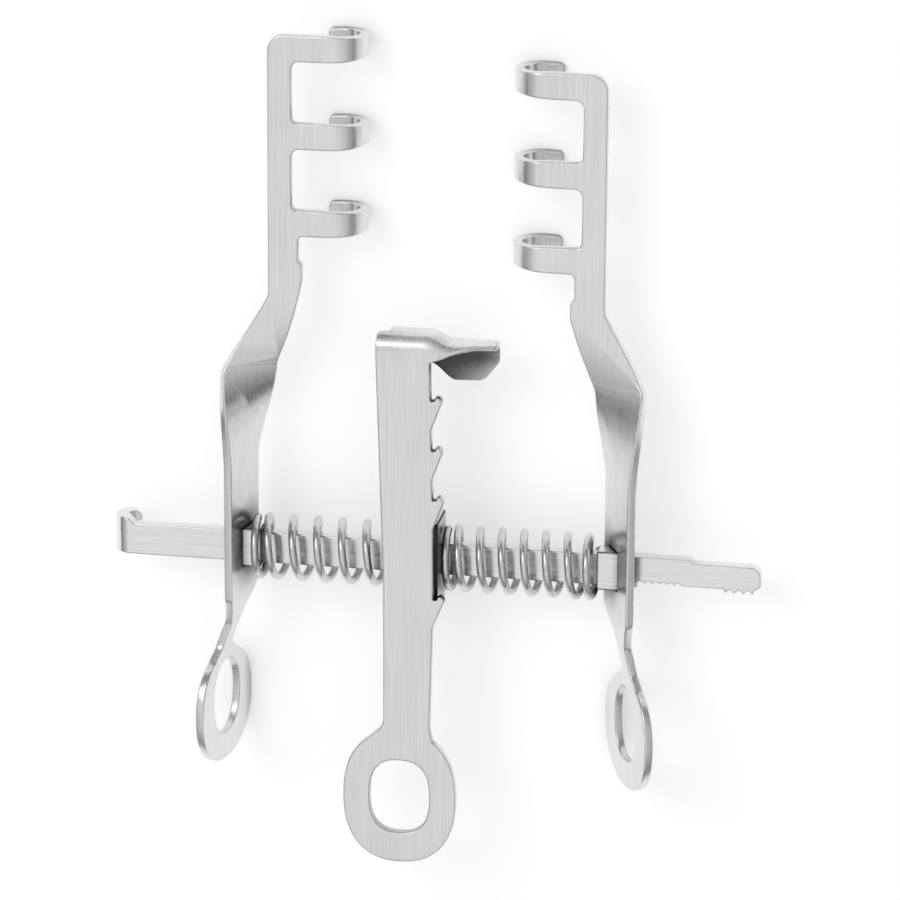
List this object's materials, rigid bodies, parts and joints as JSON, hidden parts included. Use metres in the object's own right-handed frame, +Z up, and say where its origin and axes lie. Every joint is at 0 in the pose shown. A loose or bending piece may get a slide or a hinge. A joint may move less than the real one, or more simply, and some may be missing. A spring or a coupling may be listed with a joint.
{
  "type": "surgical retractor",
  "caption": "Self-retaining surgical retractor with a central hooked arm and two sprung, hook-pronged arms that slide along a flat toothed cross bar, each arm with a finger ring.",
  "frame": {"origin": "the middle of the bounding box's bottom, on the surface that the instrument lies on", "axes": "+Y from the finger rings to the prongs, the longest extent; +X along the bar to its toothed end; +Z up, out of the centre arm's face, the shortest extent"},
  "size_m": [0.199, 0.2568, 0.035],
  "materials": {
    "rack_bar": "bright, finely polished",
    "centre_arm": "satin, fine lengthwise grain",
    "centre_lug": "satin, fine lengthwise grain",
    "upper_dowel": "bright, finely polished",
    "lower_dowel": "bright, finely polished",
    "lug_pin": "bright, finely polished",
    "left_spring": "drawn wire, slightly darker",
    "right_spring": "drawn wire, slightly darker",
    "left_arm": "satin, fine lengthwise grain",
    "left_collar": "bright, finely polished",
    "right_arm": "satin, fine lengthwise grain",
    "right_collar": "bright, finely polished"
  },
  "bodies": {
    "frame": {"rack_bar": "rack_bar", "centre_arm": "centre_arm", "centre_lug": "centre_lug", "upper_dowel": "upper_dowel", "lower_dowel": "lower_dowel", "lug_pin": "lug_pin", "left_spring": "left_spring", "right_spring": "right_spring"},
    "left_slider": {"left_arm": "left_arm", "left_collar": "left_collar"},
    "right_slider": {"right_arm": "right_arm", "right_collar": "right_collar"}
  },
  "joints": [
    {"name": "left_arm_slide", "type": "slide", "parent": "frame", "child": "left_slider", "axis": [-1, 0, 0], "range_m": [-0.02, 0.025], "deforming": ["left_spring"]},
    {"name": "right_arm_slide", "type": "slide", "parent": "frame", "child": "right_slider", "axis": [1, 0, 0], "range_m": [-0.02, 0.028], "deforming": ["right_spring"]}
  ]
}
